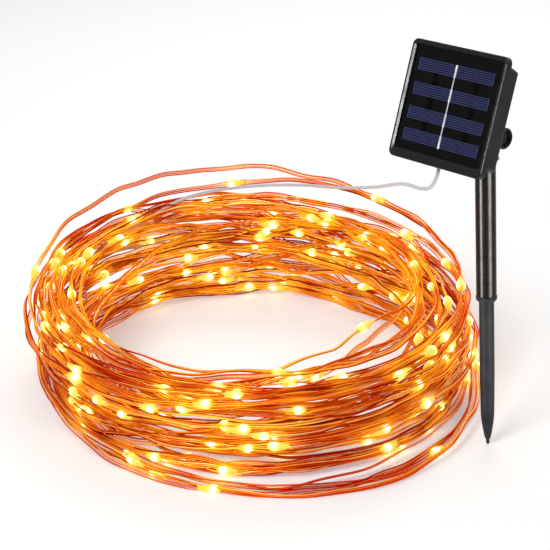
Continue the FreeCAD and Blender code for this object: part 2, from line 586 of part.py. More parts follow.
def light_string_coil():
    """The outer shape of the coil of wires: an oval ring whose top rises towards the far side."""
    tall = COIL_TOP + 30
    outer = Part.Face(oval_wire(COIL_R_OUT, 0)).extrude(Vector(0, 0, tall))
    inner = Part.Face(oval_wire(COIL_R_IN, -1)).extrude(Vector(0, 0, tall + 2))
    ring = outer.cut(inner)
    far, wide = 260.0, 400.0
    low, high = COIL_TOP - COIL_SLOPE * far, COIL_TOP + COIL_SLOPE * far
    above = Part.Face(Part.makePolygon([
        Vector(-wide, -far, low), Vector(-wide, far, high), Vector(-wide, far, high + 99),
        Vector(-wide, -far, low + 99), Vector(-wide, -far, low),
    ])).extrude(Vector(2 * wide, 0, 0))
    above.translate(Vector(COIL_X, COIL_Y, 0))
    ring = ring.cut(above)
    top = [e for e in ring.Edges if e.BoundBox.ZMin > 20 and e.Length > 300]
    return ring.makeChamfer(COIL_ROUND, top)


def capsule(radius, length, place, along):
    """A round-ended bar centred on a point."""
    along = Vector(along).normalize()
    half = length / 2 - radius
    a, b = place - along * half, place + along * half
    bar = Part.makeCylinder(radius, 2 * half, a, along)
    return bar.fuse([Part.makeSphere(radius, a), Part.makeSphere(radius, b)]).removeSplitter()


def led_beads():
    """Resin beads in rows on the outside, the inside and the top of the coil."""
    outer, inner = COIL_R_OUT - 1.0, COIL_R_IN + 1.0
    middle = (COIL_R_OUT + COIL_R_IN) / 2
    rows = [(outer, 0.3), (outer, 0.66), (inner, 0.55), (middle, 1.0)]
    found = []
    for row, (radius, share) in enumerate(rows[:BEAD_ROWS]):
        for k in range(BEADS_PER_ROW):
            angle = 2 * math.pi * (k + row / BEAD_ROWS) / BEADS_PER_ROW
            x, y = oval_point(radius, angle)
            xn, yn = oval_point(radius, angle + 0.01)
            top = COIL_TOP + COIL_SLOPE * (y - COIL_Y)
            found.append(capsule(BEAD_R, BEAD_L, Vector(x, y, share * top), Vector(xn - x, yn - y, 0)))
    return Part.makeCompound(found)


def lead_splice():
    """Moulded sleeve that joins the lead to the light string, inside the coil."""
    middle = (COIL_R_OUT + COIL_R_IN) / 2
    angle = math.radians(150)
    x, y = oval_point(middle, angle)
    xn, yn = oval_point(middle, angle + 0.01)
    return capsule(SPLICE_R, SPLICE_L, Vector(x, y, 60.0), Vector(xn - x, yn - y, 0))


def string_end_cap():
    """Shrunk sleeve that seals the far end of the light string."""
    angle = math.radians(205)
    x, y = oval_point(COIL_R_IN + 8, angle)
    xn, yn = oval_point(COIL_R_IN + 8, angle + 0.01)
    return capsule(CAP_R, CAP_L, Vector(x, y, 62.0), Vector(xn - x, yn - y, 0))


# ---- write every sub-part ----
pin = locking_pin()
bolt = hinge_bolt()
save("ground_spike", ground_spike())
save("tube_collar", tube_collar())
save("stake_tube", stake_tube())
save("locking_pin", pin)
save("tilt_bracket", tilt_bracket(pin))

head_parts = {
    "front_frame": front_frame(),
    "panel_cover": recess_floor_plate(COVER_Y, COVER_BACK),
    "solar_cells": cell_blocks(),
    "busbar_ribbon": busbar_ribbon(),
    "panel_board": panel_board(),
    "case_gasket": gasket(),
    "rear_case": rear_case(),
    "case_screws": case_screws(),
    "battery_door": battery_door(),
    "door_screw": door_screw(),
    "battery": battery(),
    "battery_contacts": battery_contacts(),
    "battery_cradle": battery_cradle(),
    "circuit_board": circuit_board(),
    "board_components": board_components(),
    "button_switches": button_switches(),
    "power_button": button(POWER_Z),
    "mode_button": button(MODE_Z),
    "cable_gland": cable_gland(),
    "hinge_bolt": bolt,
    "tilt_knob": tilt_knob(bolt),
    "hinge_nut": hinge_nut(),
    "friction_washers": friction_washers(),
}
for name, shape in head_parts.items():
    save(name, head_place(shape))

save("lead_cable", route_tube(LEAD_ROUTE, LEAD_R))
save("lead_splice", lead_splice())
save("light_string_coil", light_string_coil())
save("led_beads", led_beads())
save("string_end_cap", string_end_cap())
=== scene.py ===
import json
import math

import bpy
import numpy as np
from mathutils import Matrix, Vector


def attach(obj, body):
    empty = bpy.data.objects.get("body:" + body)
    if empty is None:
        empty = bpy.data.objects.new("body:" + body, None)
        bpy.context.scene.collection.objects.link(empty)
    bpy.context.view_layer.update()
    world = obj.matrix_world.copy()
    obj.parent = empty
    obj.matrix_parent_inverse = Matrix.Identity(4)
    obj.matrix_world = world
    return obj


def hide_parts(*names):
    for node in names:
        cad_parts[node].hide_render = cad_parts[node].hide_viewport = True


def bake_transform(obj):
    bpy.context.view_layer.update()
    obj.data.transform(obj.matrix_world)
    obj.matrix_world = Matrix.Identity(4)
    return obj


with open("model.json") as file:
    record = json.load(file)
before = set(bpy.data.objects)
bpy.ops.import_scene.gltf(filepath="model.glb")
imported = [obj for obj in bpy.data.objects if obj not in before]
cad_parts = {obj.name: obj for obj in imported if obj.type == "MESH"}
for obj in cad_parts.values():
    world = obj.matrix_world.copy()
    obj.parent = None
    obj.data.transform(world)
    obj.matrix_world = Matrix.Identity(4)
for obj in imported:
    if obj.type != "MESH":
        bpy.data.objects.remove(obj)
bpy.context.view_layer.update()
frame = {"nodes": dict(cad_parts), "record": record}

# Solar string lights: a solar head on a ground stake, a clear two-core lead, and a coil of copper-wire
# lights. Metres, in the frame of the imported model: the origin is the tip of the spike, +Z is up.

MM = 0.001
rng = np.random.default_rng(7)

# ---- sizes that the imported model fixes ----
HINGE = Vector((0.0, 0.0, 0.239))  # middle of the tilt axis
HEAD_YAW, HEAD_TILT = 48.0, 22.0  # the face is turned to the left and tipped up, in degrees
COIL_X, COIL_Y = -0.1694, 0.145  # middle of the coil
COIL_OUT, COIL_IN = 0.175, 0.1345  # its outer and inner radius
COIL_SKEW = -0.14  # metres of y gained per metre of x
COIL_TOP, COIL_SLOPE = 0.078, 0.0606  # height of its top over its middle, and the rise along +Y
# the splice's sleeve and the string's end cap: angle round the coil, radius, height and length
SPLICE_ANGLE, SPLICE_RADIUS, SPLICE_Z, SPLICE_L = 150.0, 0.15475, 0.060, 0.030
CAP_ANGLE, CAP_IN, CAP_Z, CAP_L = 205.0, 0.1425, 0.062, 0.016

# from the solar head's own axes to the model's
HEAD = (
    Matrix.Translation(HINGE)
    @ Matrix.Rotation(math.radians(-HEAD_YAW), 4, "Z")
    @ Matrix.Rotation(math.radians(-HEAD_TILT), 4, "X")
)

# the solar panel, in the head's own axes: X across the face, Y into it, Z up it
PANEL_X = -12.0 * MM
CELL_W, CELL_H = 64.0 * MM, 8.1 * MM
CELL_TOPS = np.array([40.0, 23.7, 7.4, -7.3]) * MM
CELL_BACK_Y = -29.75 * MM
FIRST_CELL_TOP, CELL_PITCH = CELL_TOPS[0], CELL_TOPS[0] - CELL_TOPS[1]
LAST_CELL_BELOW = (CELL_TOPS[2] - CELL_H + CELL_TOPS[3]) / 2  # a height between the last two strips
LAST_CELL_SHIFT = CELL_PITCH - (CELL_TOPS[2] - CELL_TOPS[3])
FINGER_EDGE, FINGER_PITCH = 0.35 * MM, 1.48 * MM  # first printed line from the strip's edge, and their pitch
FINGER_CORE, FINGER_FADE = 0.08 * MM, 0.3 * MM  # from its middle, a line is full to here and gone there
END_LINE = CELL_W / 2 - FINGER_EDGE  # the printed line at a strip's end, from the middle of the panel

# ---- the cords ----
LEAD_W, LEAD_T = 0.0027, 0.00145  # width and thickness of the two-core lead
LEAD_WEB = 0.72  # how thick the web between its cores is, as a share of a core
LEAD_TWIST = 62.0  # its wide side stands nearly upright, in degrees from level
LEAD_SPRING = np.array([3, 5, 5.5, 5, 4, 2.5, 1]) * MM  # how far it springs up, from its third point on
LEAD_DEEP = 0.028  # height of its turn inside the coil
WIRE_R = 0.62 * MM  # enamelled wire, with its enamel
TURNS = 59
POINTS_PER_TURN = 15
BEADS = 200
STRING_LOW, KINK_LOW = 1.6 * MM, 1.5 * MM  # how low the string's middle line lies, before and after its kinks
WIRE_LOW, BEAD_LOW = 0.1 * MM, 0.2 * MM  # how near the floor the surface of a wire or a bead comes

# The lead's route, from the gland to the coil.
LEAD_ROUTE = [
    (-0.0325, -0.0104, 0.2202),
    (-0.0360, -0.0135, 0.2087),
    (-0.0435, -0.0045, 0.2008),
    (-0.0515, 0.0210, 0.1940),
    (-0.0575, 0.0600, 0.1780),
    (-0.0645, 0.1120, 0.1565),
    (-0.0725, 0.1630, 0.1375),
    (-0.0820, 0.2110, 0.1205),
    (-0.0930, 0.2520, 0.1070),
    (-0.1110, 0.2850, 0.0985),
    (-0.1400, 0.3010, 0.0950),
    (-0.1720, 0.3050, 0.0935),
    (-0.2040, 0.3010, 0.0925),
    (-0.2290, 0.2935, 0.0885),
    (-0.2490, 0.2810, 0.0800),
]


# ======== helpers ========
def linear(code):
    """An sRGB hex colour as linear RGBA."""
    channels = [int(code[i:i + 2], 16) / 255 for i in (1, 3, 5)]
    return tuple(c / 12.92 if c <= 0.04045 else ((c + 0.055) / 1.055) ** 2.4 for c in channels) + (1.0,)


def add(tree, kind, inputs=None, out=None, stops=(), **settings):
    """Adds a node with its settings and links, and gives back the node, or its output that out names. Each
    input is a value, or another node's socket to link. A colour ramp's stops are places and hex colours."""
    node = tree.nodes.new(kind)
    for name, value in settings.items():
        setattr(node, name, value)
    for name, value in (inputs or {}).items():
        if isinstance(value, bpy.types.NodeSocket):
            tree.links.new(value, node.inputs[name])
        else:
            node.inputs[name].default_value = value
    if stops:
        elements = node.color_ramp.elements
        while len(elements) < len(stops):
            elements.new(0.5)
        for element, (place, colour) in zip(elements, stops):
            element.position, element.color = place, linear(colour)
    return node.outputs[out] if out else node


def new_material(name):
    """An empty node material and its tree."""
    material = bpy.data.materials.new(name)
    material.use_nodes = True
    material.node_tree.nodes.clear()
    return material, material.node_tree


def smoothstep(x):
    """0 before 0, 1 after 1, and 3x^2 - 2x^3 between."""
    x = np.clip(x, 0, 1)
    return x * x * (3 - 2 * x)


def unit(vectors):
    """The vectors at length 1."""
    return vectors / np.maximum(np.linalg.norm(vectors, axis=-1, keepdims=True), 1e-12)


def nurbs_line(points, steps):
    """The smooth line of the NURBS spline that has these control points, with steps points per span."""
    curve = bpy.data.curves.new("route", "CURVE")
    curve.dimensions = "3D"
    spline = curve.splines.new("NURBS")
    spline.points.add(len(points) - 1)
    spline.points.foreach_set("co", np.column_stack([points, np.ones(len(points))]).ravel())
    spline.order_u = 3
    spline.use_endpoint_u = True
    spline.resolution_u = steps
    holder = bpy.data.objects.new("route", curve)
    mesh = bpy.data.meshes.new_from_object(holder)
    line = np.empty(len(mesh.vertices) * 3)
    mesh.vertices.foreach_get("co", line)
    bpy.data.meshes.remove(mesh)
    bpy.data.objects.remove(holder)
    bpy.data.curves.remove(curve)
    return line.reshape(-1, 3)


def lengths_along(line):
    """The distance along a line at each of its points."""
    return np.concatenate([[0], np.cumsum(np.linalg.norm(np.diff(line, axis=0), axis=1))])


def frames(line):
    """Tangent, level normal and upright normal at each point of a line: N = T x Z, B = N x T."""
    tangent = unit(np.gradient(line, axis=0))
    level = unit(np.cross(tangent, [0.0, 0.0, 1.0]))
    return tangent, level, np.cross(level, tangent)


def piece(name, points, faces, material, smooth=True):
    """A mesh object at the origin from points, and faces as rows of corners or lists of them."""
    mesh = bpy.data.meshes.new(name)
    mesh.from_pydata(points.tolist(), [], [list(face) for face in faces])
    mesh.polygons.foreach_set("use_smooth", [smooth] * len(mesh.polygons))
    mesh.materials.append(material)
    mesh.update()
    made = bpy.data.objects.new(name, mesh)
    bpy.context.scene.collection.objects.link(made)
    return made


def tube_faces(rings, sides):
    """The faces of a closed tube whose points run ring by ring, with a flat cap on both ends."""
    ring, side = np.meshgrid(np.arange(rings - 1), np.arange(sides), indexing="ij")
    after = (side + 1) % sides
    start, end = ring * sides, (ring + 1) * sides
    corners = [start + side, start + after, end + after, end + side]
    quads = np.stack(corners, axis=-1).reshape(-1, 4)
    first = np.arange(sides)[::-1]
    last = (rings - 1) * sides + np.arange(sides)
    return quads.tolist() + [first.tolist(), last.tolist()]


def tube(name, line, radius, sides, material):
    """A round tube: ring point = line + r (cos a N + sin a B), a stepping round the ring, and none of it
    lower than WIRE_LOW."""
    _, level, upright = frames(line)
    angle = np.arange(sides) * 2 * math.pi / sides
    ring = radius * (np.cos(angle)[:, None] * level[:, None] + np.sin(angle)[:, None] * upright[:, None])
    points = line[:, None] + ring
    points[..., 2] = np.maximum(points[..., 2], WIRE_LOW)
    return piece(name, points.reshape(-1, 3), tube_faces(len(line), sides), material)


def mark(made, name, values):
    """Gives a piece's points a value that its material reads."""
    attribute = made.data.attributes.new(name, "FLOAT", "POINT")
    attribute.data.foreach_set("value", values.astype(np.float32))


def oval(radius, degrees):
    """Level place on the coil's oval: x = r cos a, y = r sin a + skew x, about the coil's middle."""
    angle = np.radians(degrees)
    x = radius * np.cos(angle)
    return COIL_X + x, COIL_Y + radius * np.sin(angle) + COIL_SKEW * x


# ======== materials ========
GRAIN_SPAN = {"From Min": 0.3, "From Max": 0.7}  # nearly all of a grain's values lie between these
BUMP_STRENGTH = 0.6
WAVE_PERIOD = math.pi / 10  # the bands of a wave texture at scale 1 are this far apart


def shaded(tree, inputs):
    """Ends a material: a Principled shader with these inputs, joined to the output."""
    shader = add(tree, "ShaderNodeBsdfPrincipled", inputs, "BSDF")
    add(tree, "ShaderNodeOutputMaterial", {"Surface": shader})


def grain(tree, place, size_mm, detail=2.0, stretch=(1, 1, 1)):
    """Random marks about size_mm wide, drawn out along the axes by these factors."""
    shares = tuple(1 / factor for factor in stretch)
    place = add(tree, "ShaderNodeMapping", {"Vector": place, "Scale": shares}, "Vector")
    marks = {"Vector": place, "Scale": 1 / (size_mm * MM), "Detail": detail}
    return add(tree, "ShaderNodeTexNoise", marks, "Fac")


def head_place(tree):
    """The point's place in the solar head's own axes: X across the face, Y into it, Z up it."""
    back = HEAD.inverted()
    place = add(tree, "ShaderNodeTexCoord", out="Object")
    inputs = {"Vector": place, "Location": back.translation, "Rotation": back.to_euler("XYZ")}
    return add(tree, "ShaderNodeMapping", inputs, "Vector")


def enamelled_copper():
    """Enamelled copper wire: drawn copper under clear lacquer, so a metal with a red-orange tint. Its top is
    painted lighter and its underside darker, as painted shade, and the lacquer's thickness drifts along
    each wire. Near a bead, and on the coil's inner wall, the copper is painted yellow and made to glow, as
    painted light from the beads."""
    material, tree = new_material("enamelled_copper_wire")
    # painted light from the beads: how far the copper's colour is tinted yellow, and how strongly it glows
    painted_tint_by_bead, painted_light_by_bead = 1.35, 0.58
    tone = add(tree, "ShaderNodeAttribute", out="Fac", attribute_name="tone")
    glow = add(tree, "ShaderNodeAttribute", out="Fac", attribute_name="glow")
    copper = add(
        tree,
        "ShaderNodeValToRGB",
        {"Fac": tone},
        "Color",
        [
            (0.0, "#8c0600"),
            (0.25, "#c41400"),
            (0.46, "#e43402"),
            (0.66, "#fa640c"),
            (0.85, "#ffa840"),
            (1.0, "#ffd890"),
        ],
    )
    # the painted glow and yellow tint follow the tone too, so they are stronger on the painted-lighter top
    lit = add(tree, "ShaderNodeMath", {0: glow, 1: tone}, "Value", operation="MULTIPLY")
    share = add(tree, "ShaderNodeMath", {0: lit, 1: painted_tint_by_bead}, "Value", operation="MULTIPLY")
    strength = add(tree, "ShaderNodeMath", {0: lit, 1: painted_light_by_bead}, "Value", operation="MULTIPLY")
    tints = {"Factor": share, "A": copper, "B": linear("#ffb01e")}
    lights = {"Factor": glow, "A": copper, "B": linear("#ffc024")}
    shaded(tree, {
        "Base Color": add(tree, "ShaderNodeMix", tints, "Result", data_type="RGBA"),
        "Metallic": 0.9,
        "Roughness": 0.34,
        "Specular Tint": linear("#e8825a"),
        "Coat Weight": 0.08,
        "Emission Color": add(tree, "ShaderNodeMix", lights, "Result", data_type="RGBA"),
        "Emission Strength": strength,
    })
    return material


def glowing_resin():
    """Cured epoxy drop over a lit warm-white diode: white where the diode is, yellow to its thin edges."""
    material, tree = new_material("lit_epoxy_bead")
    edge_light, diode_light = 0.72, 2.8
    shine = add(tree, "ShaderNodeAttribute", out="Fac", attribute_name="shine")
    colours = [(0.0, "#eedc50"), (0.25, "#f6e864"), (0.5, "#fcf27c"), (0.75, "#fffab8"), (1.0, "#ffffff")]
    strengths = {"Value": shine, "From Min": 0.3, "To Min": edge_light, "To Max": diode_light}
    shaded(tree, {
        "Base Color": linear("#b89a28"),
        "Roughness": 0.18,
        "IOR": 1.54,
        "Emission Color": add(tree, "ShaderNodeValToRGB", {"Fac": shine}, "Color", colours),
        "Emission Strength": add(
            tree, "ShaderNodeMapRange", strengths, "Result", interpolation_type="SMOOTHSTEP"
        ),
    })
    return material


def clear_pvc():
    """Clear two-core flex: soft PVC, milky in faint clouds, with the tinned strands as two grey lines
    down its cores and a wet shine."""
    material, tree = new_material("clear_pvc_flex")
    core = add(tree, "ShaderNodeAttribute", out="Fac", attribute_name="core")
    cloud = grain(tree, add(tree, "ShaderNodeTexCoord", out="Object"), 8)
    milky = add(tree, "ShaderNodeValToRGB", {"Fac": cloud}, "Color", [(0.3, "#e0e0e4"), (0.7, "#f2f2f4")])
    strands = {"Factor": core, "A": milky, "B": linear("#c6c6cc")}
    shaded(tree, {
        "Base Color": add(tree, "ShaderNodeMix", strands, "Result", data_type="RGBA"),
        "Roughness": 0.4,
        "IOR": 1.53,
        "Specular IOR Level": 0.3,
    })
    return material


def moulded_plastic(name, dark, light, roughness, grain_mm, depth_mm=0.02, specular=0.4, sheen=0.0):
    """A moulded plastic or rubber: its spark-eroded mould leaves a fine pebble grain that breaks the
    shine, and the melt's flow leaves it a little uneven in tone."""
    material, tree = new_material(name)
    place = add(tree, "ShaderNodeTexCoord", out="Object")
    flow = grain(tree, place, 17, 3.0)
    gloss = {"Value": flow, **GRAIN_SPAN, "To Min": roughness - 0.04, "To Max": roughness + 0.06}
    pebbles = {"Height": grain(tree, place, grain_mm), "Strength": BUMP_STRENGTH, "Distance": depth_mm * MM}
    shaded(tree, {
        "Base Color": add(tree, "ShaderNodeValToRGB", {"Fac": flow}, "Color", [(0.35, dark), (0.65, light)]),
        "Roughness": add(tree, "ShaderNodeMapRange", gloss, "Result"),
        "Specular IOR Level": specular,
        "Sheen Weight": sheen,
        "Normal": add(tree, "ShaderNodeBump", pebbles, "Normal"),
    })
    return material


def metal(name, dark, light, roughness, grain_mm, stretch=(1, 1, 1), depth_mm=0.004):
    """A metal: colour in its reflection only, with fine marks drawn out along one axis where it was
    rolled or drawn, and a cloudy tone where it was plated."""
    material, tree = new_material(name)
    place = add(tree, "ShaderNodeTexCoord", out="Object")
    marks = grain(tree, place, grain_mm, 3.0, stretch)
    cloud = grain(tree, place, 6)
    gloss = {"Value": marks, **GRAIN_SPAN, "To Min": roughness - 0.06, "To Max": roughness + 0.08}
    scratches = {"Height": marks, "Strength": BUMP_STRENGTH, "Distance": depth_mm * MM}
    shaded(tree, {
        "Base Color": add(tree, "ShaderNodeValToRGB", {"Fac": cloud}, "Color", [(0.3, dark), (0.7, light)]),
        "Metallic": 1.0,
        "Roughness": add(tree, "ShaderNodeMapRange", gloss, "Result"),
        "Normal": add(tree, "ShaderNodeBump", scratches, "Normal"),
    })
    return material


def anodised_tube():
    """Drawn aluminium tube, brushed round its axis and anodised gunmetal: the brushing draws each lamp out
    into a soft streak along the tube."""
    material, tree = new_material("anodised_aluminium_tube")
    place = add(tree, "ShaderNodeTexCoord", out="Object")
    brushing = grain(tree, place, 0.35, 2.0, (30, 30, 1))
    cloud = grain(tree, place, 9)
    greys = [(0.3, "#21201e"), (0.7, "#292825")]
    gloss = {"Value": brushing, **GRAIN_SPAN, "To Min": 0.36, "To Max": 0.42}
    scratches = {"Height": brushing, "Strength": 0.4, "Distance": 0.003 * MM}
    shaded(tree, {
        "Base Color": add(tree, "ShaderNodeValToRGB", {"Fac": cloud}, "Color", greys),
        "Metallic": 1.0,
        "Roughness": add(tree, "ShaderNodeMapRange", gloss, "Result"),
        "Anisotropic": 0.9,
        "Anisotropic Rotation": 0.25,
        "Tangent": add(tree, "ShaderNodeTangent", out="Tangent", direction_type="RADIAL", axis="Z"),
        "Normal": add(tree, "ShaderNodeBump", scratches, "Normal"),
    })
    return material


def clear_cover():
    """Clear acrylic sheet with an anti-glare coat, cut and laid over the cells: hardly any colour of its
    own, and no shine that would show at this size, so its alpha is nought and what is under it shows."""
    material, tree = new_material("clear_acrylic_sheet")
    haze = grain(tree, head_place(tree), 12)
    gloss = {"Value": haze, **GRAIN_SPAN, "To Min": 0.04, "To Max": 0.1}
    shaded(tree, {
        "Base Color": add(
            tree, "ShaderNodeValToRGB", {"Fac": haze}, "Color", [(0.3, "#0a0a0e"), (0.7, "#101016")]
        ),
        "Roughness": add(tree, "ShaderNodeMapRange", gloss, "Result"),
        "IOR": 1.49,
        "Alpha": 0.0,
    })
    return material


def silicon_cells():
    """Mono-crystalline silicon under a blue anti-reflection coat, with fingers of silver paste printed along
    each strip and a printed line round its edge. Real fingers are a tenth of a millimetre wide, too fine to
    show, and these are drawn a few times as wide."""
    material, tree = new_material("coated_silicon_cell")
    across, _, up = add(tree, "ShaderNodeSeparateXYZ", {"Vector": head_place(tree)}).outputs
    # how far down its own strip a point lies: the lowest strip sits closer than the others to the next
    lowest = add(tree, "ShaderNodeMath", {0: up, 1: LAST_CELL_BELOW}, "Value", operation="LESS_THAN")
    closer = add(tree, "ShaderNodeMath", {0: lowest, 1: LAST_CELL_SHIFT}, "Value", operation="MULTIPLY")
    below = add(tree, "ShaderNodeMath", {0: FIRST_CELL_TOP, 1: up}, "Value", operation="SUBTRACT")
    drop = add(tree, "ShaderNodeMath", {0: below, 1: closer}, "Value", operation="ADD")
    down = add(tree, "ShaderNodeMath", {0: drop, 1: CELL_PITCH}, "Value", operation="MODULO")
    # how far it is from the nearest finger, and from the printed line at the strip's end
    inside = add(tree, "ShaderNodeMath", {0: down, 1: FINGER_EDGE}, "Value", operation="SUBTRACT")
    to_finger = add(tree, "ShaderNodeMath", {0: inside, 1: FINGER_PITCH / 2}, "Value", operation="PINGPONG")
    beside = add(tree, "ShaderNodeMath", {0: across, 1: PANEL_X}, "Value", operation="SUBTRACT")
    beside = add(tree, "ShaderNodeMath", {0: beside}, "Value", operation="ABSOLUTE")
    to_end = add(tree, "ShaderNodeMath", {0: beside, 1: END_LINE}, "Value", operation="SUBTRACT")
    to_end = add(tree, "ShaderNodeMath", {0: to_end}, "Value", operation="ABSOLUTE")
    near = add(tree, "ShaderNodeMath", {0: to_finger, 1: to_end}, "Value", operation="MINIMUM")
    fading = {"Value": near, "From Min": FINGER_CORE, "From Max": FINGER_FADE, "To Min": 0.7, "To Max": 0.0}
    line = add(tree, "ShaderNodeMapRange", fading, "Result")
    cloud = grain(tree, head_place(tree), 5, 3.0)
    coat = add(tree, "ShaderNodeValToRGB", {"Fac": cloud}, "Color", [(0.3, "#0d1030"), (0.7, "#131844")])
    printed = {"Factor": line, "A": coat, "B": linear("#53587c")}
    shaded(tree, {
        "Base Color": add(tree, "ShaderNodeMix", printed, "Result", data_type="RGBA"),
        "Metallic": add(tree, "ShaderNodeMath", {0: line, 1: 0.3}, "Value", operation="MULTIPLY"),
        "Roughness": 0.2,
        "Specular IOR Level": 0.1,
    })
    return material


def laminate(name, dark, light, weave_mm, specular):
    """Glass-cloth laminate under solder mask: the weave shows as a faint square net in the gloss."""
    material, tree = new_material(name)
    threads = {"Vector": head_place(tree), "Scale": WAVE_PERIOD / (weave_mm * MM)}
    ways = [add(tree, "ShaderNodeTexWave", threads, "Fac", bands_direction=way) for way in ("X", "Z")]
    net = add(tree, "ShaderNodeMath", dict(enumerate(ways)), "Value", operation="MULTIPLY")
    weave = {"Height": net, "Strength": 0.3, "Distance": 0.004 * MM}
    shaded(tree, {
        "Base Color": add(tree, "ShaderNodeValToRGB", {"Fac": net}, "Color", [(0.0, dark), (1.0, light)]),
        "Roughness": 0.22,
        "Specular IOR Level": specular,
        "Normal": add(tree, "ShaderNodeBump", weave, "Normal"),
    })
    return material


def fibre(name, dark, light, roughness, fleck_mm, depth_mm):
    """A fibre or foam: short flecks or cells packed together, dull and rough."""
    material, tree = new_material(name)
    place = add(tree, "ShaderNodeTexCoord", out="Object")
    cells = {"Vector": place, "Scale": 1 / (fleck_mm * MM)}
    flecks = add(tree, "ShaderNodeTexVoronoi", cells, "Distance")
    pits = {"Height": flecks, "Strength": BUMP_STRENGTH, "Distance": depth_mm * MM}
    shaded(tree, {
        "Base Color": add(tree, "ShaderNodeValToRGB", {"Fac": flecks}, "Color", [(0.1, dark), (0.8, light)]),
        "Roughness": roughness,
        "Specular IOR Level": 0.2,
        "Normal": add(tree, "ShaderNodeBump", pits, "Normal"),
    })
    return material


# One material for each of the record's slots. Dark plastics have less gloss than their refractive index
# gives, as grained ones look.
MATERIALS = {
    # polypropylene, injection-moulded: waxy, with a wide dull shine
    "spike_plastic": moulded_plastic(
        "moulded_polypropylene_black", "#08080a", "#0d0d0f", 0.4, 0.5, 0.02, 0.12
    ),
    # nylon, injection-moulded: harder than the spike's plastic, with a closer shine
    "collar_plastic": moulded_plastic("moulded_nylon_black", "#0a0a0b", "#101011", 0.26, 0.7, 0.01, 0.2),
    "tube_aluminium": anodised_tube(),
    # steel rod, blackened in a hot salt bath: dark grey, with a soft metal shine
    "pin_steel": metal("blackened_steel", "#1c1c1e", "#2a2a2c", 0.34, 0.5),
    # ABS, injection-moulded in a polished mould: near black, with a bright line on each edge
    "case_plastic": moulded_plastic("moulded_abs_black", "#09090c", "#101014", 0.2, 0.45, 0.004, 0.16),
    "cover_sheet": clear_cover(),
    "silicon_cell": silicon_cells(),
    # copper ribbon, dipped in tin: nearly white, with faint marks along it
    "tinned_ribbon": metal("tinned_copper_ribbon", "#dcdce4", "#f4f4fa", 0.34, 0.8, (1, 1, 6), 0.01),
    # glass-cloth laminate, printed with black mask: flat and dark behind the cells
    "board_laminate": laminate("laminate_black_mask", "#09090a", "#0f0f10", 2.0, 0.05),
    # closed-cell foam, die-cut: matt black, finely pitted
    "gasket_foam": fibre("closed_cell_foam_black", "#050506", "#121214", 0.9, 0.4, 0.05),
    # steel, zinc-plated: pale grey and cloudy
    "zinc_steel": metal("zinc_plated_steel", "#a8a8ac", "#c8c8cc", 0.3, 0.6),
    # PVC sleeve, shrunk on to the battery: green and smooth
    "cell_sleeve": moulded_plastic("shrink_pvc_green", "#12401e", "#1a5428", 0.24, 1.2, 0.02, 0.5),
    # spring steel strip, nickel-plated: warm grey, with marks along it
    "nickel_leaf": metal("nickel_plated_spring_steel", "#b4b0a4", "#cecabc", 0.22, 0.4, (1, 1, 12)),
    # glass-cloth laminate, printed with green mask
    "circuit_laminate": laminate("laminate_green_mask", "#0a3a16", "#125424", 1.2, 0.35),
    # epoxy, transfer-moulded: matt dark grey
    "component_plastic": moulded_plastic("epoxy_moulding_black", "#111113", "#1a1a1c", 0.5, 0.2, 0.02, 0.35),
    # silicone rubber, compression-moulded: mid grey and matt
    "button_rubber": moulded_plastic("silicone_rubber_grey", "#5c5c5e", "#6a6a6c", 0.55, 0.3, 0.01, 0.3, 0.1),
    # rubber, compression-moulded and vulcanised: matt black
    "gland_rubber": moulded_plastic(
        "vulcanised_rubber_black", "#0e0e0f", "#161617", 0.6, 0.3, 0.02, 0.25, 0.1
    ),
    # ABS, injection-moulded in a mirror-polished mould: black and glossy
    "knob_plastic": moulded_plastic("moulded_abs_gloss_black", "#060607", "#0b0b0c", 0.2, 0.8, 0.004, 0.16),
    # vulcanised fibre, punched from sheet: dull brick red
    "fibre_washer": fibre("vulcanised_fibre_red", "#4a140c", "#6c2418", 0.6, 0.5, 0.02),
    "clear_pvc": clear_pvc(),
    "enamelled_copper": enamelled_copper(),
    "bead_resin": glowing_resin(),
    # sleeve, shrunk on with hot air: amber and smooth
    "shrink_sleeve": moulded_plastic("shrink_sleeve_amber", "#a83c10", "#c85418", 0.3, 1.5, 0.03, 0.45),
}
# Acetate tape, matt black, over the joints between the cells. It has no slot of its own.
TAPE = moulded_plastic("acetate_tape_black", "#030304", "#060607", 0.5, 0.4, 0.005, 0.03)


# ======== the lead ========
def lead_line():
    """The lead's smooth line: its route to the coil, then one turn inside the coil to the splice."""
    x, y, z = LEAD_ROUTE[-1]
    start = math.degrees(math.atan2(y - COIL_Y - COIL_SKEW * (x - COIL_X), x - COIL_X))
    start_radius = (x - COIL_X) / math.cos(math.radians(start))
    half_sleeve = math.degrees(SPLICE_L / 2 / SPLICE_RADIUS)
    end = SPLICE_ANGLE + 360 - half_sleeve
    points = 18
    share = np.linspace(0, 1, points + 1)[1:]
    angle = start + (end - start) * share
    radius = start_radius + (SPLICE_RADIUS - start_radius) * smoothstep(share * 3)
    height = z + (LEAD_DEEP - z) * smoothstep(share * 4) + (SPLICE_Z - LEAD_DEEP) * smoothstep(share * 4 - 3)
    inside = np.column_stack([*oval(radius, angle), height])
    route = np.array(LEAD_ROUTE)
    route[2:9, 2] += LEAD_SPRING
    return nurbs_line(np.vstack([route, inside]), steps=12)


